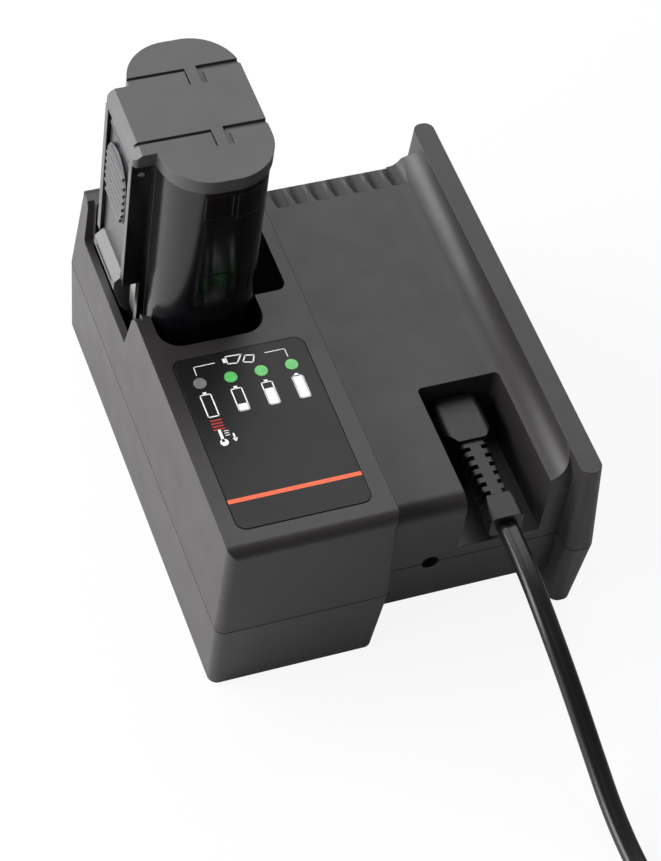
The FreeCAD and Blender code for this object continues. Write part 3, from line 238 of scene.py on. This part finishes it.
# Cord: the same route as the solid tube, then its coil and the run to the plug
WIDTH = 6.4
THICK = 4.7
TURNS = 6.25
PITCH_GAP = 0.45
PITCH = WIDTH + PITCH_GAP
MEAN_RADIUS = 38.0
OUTER = MEAN_RADIUS + PITCH * TURNS / 4
COIL_X = 54.0
COIL_Y = -152.0
COIL_Z = 3.25
LAYER_GAP = 0.5
LAYER = THICK + LAYER_GAP
CLIMB_TURNS = 0.5
TURN_POINTS = 24
TAIL = 24.0
PLUG_Z = 7.0
LINE_STEPS = 10
ROUTE = [(90, 4.4, 45), (90, -11, 45), (90.9, -28, 39.5), (94, -44, 27.5), (96.9, -60, 14.5), (98.2, -77, 6),
         (99.6, -96, 2.45), (COIL_X + OUTER, -122, COIL_Z), (COIL_X + OUTER, COIL_Y + WIDTH, COIL_Z)]


def coil_point(turn):
    """The cord's middle after so many turns: inwards, up one layer near the middle, and out again."""
    radius = OUTER - PITCH * min(turn, TURNS - turn)
    climb = min(max((turn - (TURNS / 2 - CLIMB_TURNS / 2)) / CLIMB_TURNS, 0.0), 1.0)
    climb = climb * climb * (3 - 2 * climb)
    angle = -2 * math.pi * turn
    return (COIL_X + radius * math.cos(angle), COIL_Y + radius * math.sin(angle), COIL_Z + LAYER * climb)


def cord_line():
    """The cord's smooth line: one spline that follows its route, its coil and its run to the plug."""
    points = list(ROUTE)
    for k in range(int(TURNS * TURN_POINTS) + 1):
        points.append(coil_point(k / TURN_POINTS))
    x, y, z = points[-1]
    points += [(x - TAIL / 3, y, z), (x - TAIL * 2 / 3, y, PLUG_Z), (x - TAIL, y, PLUG_Z),
               (x - TAIL - WIDTH, y, PLUG_Z)]
    curve = bpy.data.curves.new("cord_line", "CURVE")
    curve.dimensions = "3D"
    spline = curve.splines.new("NURBS")
    spline.points.add(len(points) - 1)
    for point, place in zip(spline.points, points):
        point.co = (*at(*place), 1)
    spline.order_u = 3
    spline.use_endpoint_u = True
    spline.resolution_u = LINE_STEPS
    holder = bpy.data.objects.new("cord_line", curve)
    mesh = bpy.data.meshes.new_from_object(holder)
    line = [v.co.copy() for v in mesh.vertices]
    bpy.data.objects.remove(holder)
    return line


SECTION_SIDES = 28
SIDE_POWER = 0.72
TOP_POWER = 0.85
GROOVE_DEPTH = 0.22
GROOVE_WIDTH = 0.26


def flat_section():
    """The flat cord's section: two round cores side by side, with a shallow groove between them."""
    half = WIDTH / 2 * MM
    high = THICK / 2 * MM
    section = []
    for k in range(SECTION_SIDES):
        angle = 2 * math.pi * k / SECTION_SIDES
        c, s = math.cos(angle), math.sin(angle)
        groove = 1 - GROOVE_DEPTH * math.exp(-(c / GROOVE_WIDTH) ** 2)
        across = half * math.copysign(abs(c) ** SIDE_POWER, c)
        up = high * math.copysign(abs(s) ** TOP_POWER, s) * groove
        section.append((across, up))
    return section


def swept(name, line, section):
    """A tube along a line, its wide side level."""
    mesh = bmesh.new()
    rings = []
    for i, place in enumerate(line):
        ahead = (line[min(i + 1, len(line) - 1)] - line[max(i - 1, 0)]).normalized()
        side = ahead.cross(Vector((0, 0, 1))).normalized()
        rise = side.cross(ahead)
        rings.append([mesh.verts.new(place + side * a + rise * b) for a, b in section])
    count = len(section)
    for low, high in zip(rings, rings[1:]):
        for k in range(count):
            mesh.faces.new((low[k], low[(k + 1) % count], high[(k + 1) % count], high[k]))
    mesh.faces.new(rings[0][::-1])
    mesh.faces.new(rings[-1])
    return piece(name, mesh, CORD, smooth=True)


def piece(name, mesh, material, smooth=False):
    """A finished bmesh as an object with one finish."""
    bmesh.ops.recalc_face_normals(mesh, faces=mesh.faces)
    data = bpy.data.meshes.new(name)
    mesh.to_mesh(data)
    mesh.free()
    made = bpy.data.objects.new(name, data)
    scene.collection.objects.link(made)
    data.materials.append(material)
    if smooth:
        data.shade_smooth()
    return made


line = cord_line()
flex = swept("mains_flex", line, flat_section())
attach(flex, "cord_set")
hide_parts("mains_cord", "cord_coil")


# Label marks, as thin ink on the film
INK_SUNK = 0.02
INK_PROUD = 0.015


def slab(mesh, corners, low, high):
    """A thin upright prism over a level outline, in millimetres."""
    lower = [mesh.verts.new(at(x, y, low)) for x, y in corners]
    upper = [mesh.verts.new(at(x, y, high)) for x, y in corners]
    mesh.faces.new(upper)
    mesh.faces.new(lower[::-1])
    for i in range(len(corners)):
        j = (i + 1) % len(corners)
        mesh.faces.new((lower[i], lower[j], upper[j], upper[i]))


def rectangle(x0, y0, x1, y1):
    """A rectangle's four corners."""
    return [(x0, y0), (x1, y0), (x1, y1), (x0, y1)]


def stroke(ax, ay, bx, by, width):
    """A straight stroke of ink as a thin rectangle."""
    along = Vector((bx - ax, by - ay)).normalized() * (width / 2)
    across = Vector((-along.y, along.x))
    return [(ax - along.x - across.x, ay - along.y - across.y),
            (bx + along.x - across.x, by + along.y - across.y),
            (bx + along.x + across.x, by + along.y + across.y),
            (ax - along.x + across.x, ay - along.y + across.y)]


def ink(name, outlines, material):
    """Marks of one colour, standing a little out of the film."""
    mesh = bmesh.new()
    for corners in outlines:
        slab(mesh, corners, LABEL_TOP - INK_SUNK, LABEL_TOP + INK_PROUD)
    made = piece(name, mesh, material)
    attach(made, "charger")


# Cell marks in front of the lamps, and how full each is drawn
LAMP_X = [12.7, 22.2, 31.6, 41.1]
CHARGES = (0.0, 0.3, 0.72, 1.0)
CELL_LOW, CELL_HIGH = 50.1, 58.3
CELL_HALF = 1.62
CELL_LINE = 0.36
NUB_HALF = 0.55
NUB_HEIGHT = 0.95

# Signs behind the lamps: the two halves of a bracket, and two tilted battery packs
BRACKETS = [(19.0, 68.9, 12.6, 68.9), (12.6, 68.9, 12.5, 65.9),
            (34.8, 68.9, 40.9, 68.9), (40.9, 68.9, 40.9, 65.9)]
BRACKET_LINE = 0.26
PACKS = [[(22.8, 70.4), (27.7, 70.1), (25.6, 67.3), (22.8, 67.6)],
         [(28.7, 69.5), (31.4, 68.9), (30.3, 66.4), (27.4, 67.2)]]
PACK_LINE = 0.4
PACK_NUB = (21.6, 68.2, 22.5, 69.8)

# The thermometer with its degrees and arrow, the heat lines behind it, and the stripe at the front
STEM = (12.6, 44.7, 12.6, 41.0)
STEM_LINE = 0.85
BULB = (12.7, 40.4, 1.25)
DEGREES = (13.9, 15.0)
DEGREE_HEIGHTS = (44.3, 43.5, 42.7)
DEGREE_LINE = 0.25
ARROW = (16.2, 42.7, 16.2, 41.0)
ARROW_LINE = 0.5
ARROW_HEAD = [(15.4, 41.2), (16.2, 39.9), (17.0, 41.2)]
HEAT = (11.3, 14.3)
HEAT_TOP = 48.6
HEAT_LINES = 4
HEAT_PITCH = 1.1
HEAT_LINE = 0.45
STRIPE = (6.85, 19.1, 47.35, 20.5)


def cell_mark(x, full):
    """A cell's outline, filled from below by a share."""
    left, right = x - CELL_HALF, x + CELL_HALF
    shapes = [stroke(left, CELL_LOW, left, CELL_HIGH, CELL_LINE),
              stroke(right, CELL_LOW, right, CELL_HIGH, CELL_LINE),
              stroke(left, CELL_LOW, right, CELL_LOW, CELL_LINE),
              stroke(left, CELL_HIGH, right, CELL_HIGH, CELL_LINE),
              rectangle(x - NUB_HALF, CELL_HIGH, x + NUB_HALF, CELL_HIGH + NUB_HEIGHT)]
    if full:
        shapes.append(rectangle(left, CELL_LOW, right, CELL_LOW + (CELL_HIGH - CELL_LOW) * full))
    return shapes


def loop_of(points, width):
    """Strokes that join points in a closed loop."""
    return [stroke(*a, *b, width) for a, b in zip(points, points[1:] + points[:1])]


def disc(x, y, radius, sides=20):
    """A round dot's outline."""
    return [(x + radius * math.cos(2 * math.pi * k / sides), y + radius * math.sin(2 * math.pi * k / sides))
            for k in range(sides)]


def label_marks():
    """Four cells, the signs behind the lamps, a thermometer, heat lines and a plain stripe."""
    white = []
    for x, full in zip(LAMP_X, CHARGES):
        white += cell_mark(x, full)
    white += [stroke(*ends, BRACKET_LINE) for ends in BRACKETS]
    for outline in PACKS:
        white += loop_of(outline, PACK_LINE)
    white.append(rectangle(*PACK_NUB))
    white += [stroke(*STEM, STEM_LINE), disc(*BULB)]
    white += [stroke(DEGREES[0], y, DEGREES[1], y, DEGREE_LINE) for y in DEGREE_HEIGHTS]
    white += [stroke(*ARROW, ARROW_LINE), ARROW_HEAD]
    ink("label_marks", white, WHITE)
    heights = [HEAT_TOP - HEAT_PITCH * k for k in range(HEAT_LINES)]
    ink("heat_marks", [stroke(HEAT[0], y, HEAT[1], y, HEAT_LINE) for y in heights], RED)
    ink("label_stripe", [rectangle(*STRIPE)], ORANGE)


label_marks()


# Trim on the battery's front: fine raised frames that follow the case's round corner
CASE_FRONT = 81.0
CASE_LEFT = 6.0
CASE_WIDTH = 33.0
CASE_CORNER = 14.0
FRAME_RIM = 0.55
FRAME_STEP = 1.2
FRAME_SUNK = 0.05
FRAME_PROUD = 0.16
WINDOWS = [(16.1, 24.6, 115.2, 125.0), (25.6, 33.4, 114.2, 124.2), (16.1, 24.6, 78.0, 91.0),
           (25.6, 33.4, 78.0, 90.0)]


def case_surface(x, proud):
    """A point on the battery's rounded front: how far right and how far back of the housing's corner."""
    middle = min(max(x, CASE_LEFT + CASE_CORNER), CASE_LEFT + CASE_WIDTH - CASE_CORNER)
    away = x - middle
    reach = CASE_CORNER + proud
    out = away * reach / CASE_CORNER
    return middle + out, CASE_FRONT + CASE_CORNER - math.sqrt(reach ** 2 - out ** 2)


def raised_patch(mesh, x0, x1, z0, z1):
    """A thin raised strip on the battery's front, in short facets."""
    steps = max(1, round(abs(x1 - x0) / FRAME_STEP))
    for k in range(steps):
        corners = []
        for x in (x0 + (x1 - x0) * k / steps, x0 + (x1 - x0) * (k + 1) / steps):
            for depth in (-FRAME_SUNK, FRAME_PROUD):
                corners.append([mesh.verts.new(at(*case_surface(x, depth), z)) for z in (z0, z1)])
        (a0, a1), (b0, b1), (c0, c1), (d0, d1) = corners
        for face in ((b0, b1, d1, d0), (a1, c1, d1, b1), (a0, b0, d0, c0), (a0, a1, b1, b0),
                     (c0, d0, d1, c1)):
            mesh.faces.new(face)


def add_window_frames():
    """Four thin rims where the battery's front has its small windows."""
    mesh = bmesh.new()
    for x0, x1, z0, z1 in WINDOWS:
        raised_patch(mesh, x0, x1, z0, z0 + FRAME_RIM)
        raised_patch(mesh, x0, x1, z1 - FRAME_RIM, z1)
        raised_patch(mesh, x0, x0 + FRAME_RIM, z0, z1)
        raised_patch(mesh, x1 - FRAME_RIM, x1, z0, z1)
    made = piece("window_frames", mesh, GLOSS)
    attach(made, "battery")


add_window_frames()


# Floor and light
PAPER = (0.72, 0.72, 0.72, 1)
PURE_WHITE = (1, 1, 1, 1)
FLOOR_LIFT = 0.9
FLOOR_HALF = 3.0
FLOOR_Z = -0.0002
FILL = 0.15


def floor_material():
    """White paper: a plain pale diffuse that the view sees lifted to white, with the shadow kept."""
    material, nodes, links, shader = new_material("paper")
    shader.inputs["Roughness"].default_value = 0.9
    shader.inputs["Base Color"].default_value = PAPER
    white = nodes.new("ShaderNodeEmission")
    white.inputs["Color"].default_value = PURE_WHITE
    white.inputs["Strength"].default_value = 1.0
    path = nodes.new("ShaderNodeLightPath")
    seen = nodes.new("ShaderNodeMath")
    seen.operation = "MAXIMUM"
    links.new(path.outputs["Is Camera Ray"], seen.inputs[0])
    links.new(path.outputs["Is Transmission Ray"], seen.inputs[1])
    share = nodes.new("ShaderNodeMath")
    share.operation = "MULTIPLY"
    share.inputs[1].default_value = FLOOR_LIFT
    links.new(seen.outputs["Value"], share.inputs[0])
    mix = nodes.new("ShaderNodeMixShader")
    links.new(share.outputs["Value"], mix.inputs["Fac"])
    links.new(shader.outputs["BSDF"], mix.inputs[1])
    links.new(white.outputs["Emission"], mix.inputs[2])
    links.new(mix.outputs["Shader"], nodes["Material Output"].inputs["Surface"])
    return material


def add_floor():
    """A wide white sheet just under the feet, which is stage and no part of the object."""
    mesh = bmesh.new()
    corners = [(-1, -1), (1, -1), (1, 1), (-1, 1)]
    mesh.faces.new([mesh.verts.new((x * FLOOR_HALF, y * FLOOR_HALF, FLOOR_Z)) for x, y in corners])
    made = piece("floor", mesh, floor_material())


def add_world():
    """Soft white surroundings, plain white to the camera."""
    world = bpy.data.worlds.new("studio")
    scene.world = world
    world.use_nodes = True
    nodes, links = world.node_tree.nodes, world.node_tree.links
    nodes.clear()
    out = nodes.new("ShaderNodeOutputWorld")
    soft = nodes.new("ShaderNodeBackground")
    soft.inputs["Color"].default_value = PURE_WHITE
    soft.inputs["Strength"].default_value = FILL
    seen = nodes.new("ShaderNodeBackground")
    seen.inputs["Color"].default_value = PURE_WHITE
    seen.inputs["Strength"].default_value = 1.0
    path = nodes.new("ShaderNodeLightPath")
    mix = nodes.new("ShaderNodeMixShader")
    links.new(path.outputs["Is Camera Ray"], mix.inputs["Fac"])
    links.new(soft.outputs["Background"], mix.inputs[1])
    links.new(seen.outputs["Background"], mix.inputs[2])
    links.new(mix.outputs["Shader"], out.inputs["Surface"])


AIM = Vector((0, 0, 0.05))


def panel(name, place, width, height, power):
    """A soft light panel that faces the object."""
    data = bpy.data.lights.new(name, "AREA")
    data.shape = "RECTANGLE"
    data.size = width
    data.size_y = height
    data.energy = power
    light = bpy.data.objects.new(name, data)
    scene.collection.objects.link(light)
    light.location = place
    light.rotation_euler = (AIM - Vector(place)).to_track_quat("-Z", "Y").to_euler()


add_floor()
add_world()
panel("left_panel", (-1.05, 0.3, 0.42), 1.6, 1.1, 48)
panel("top_panel", (0.15, 0.75, 1.05), 1.3, 0.9, 11)
panel("right_panel", (1.0, -0.3, 0.7), 0.6, 0.6, 0.8)

scene.view_settings.view_transform = "Standard"
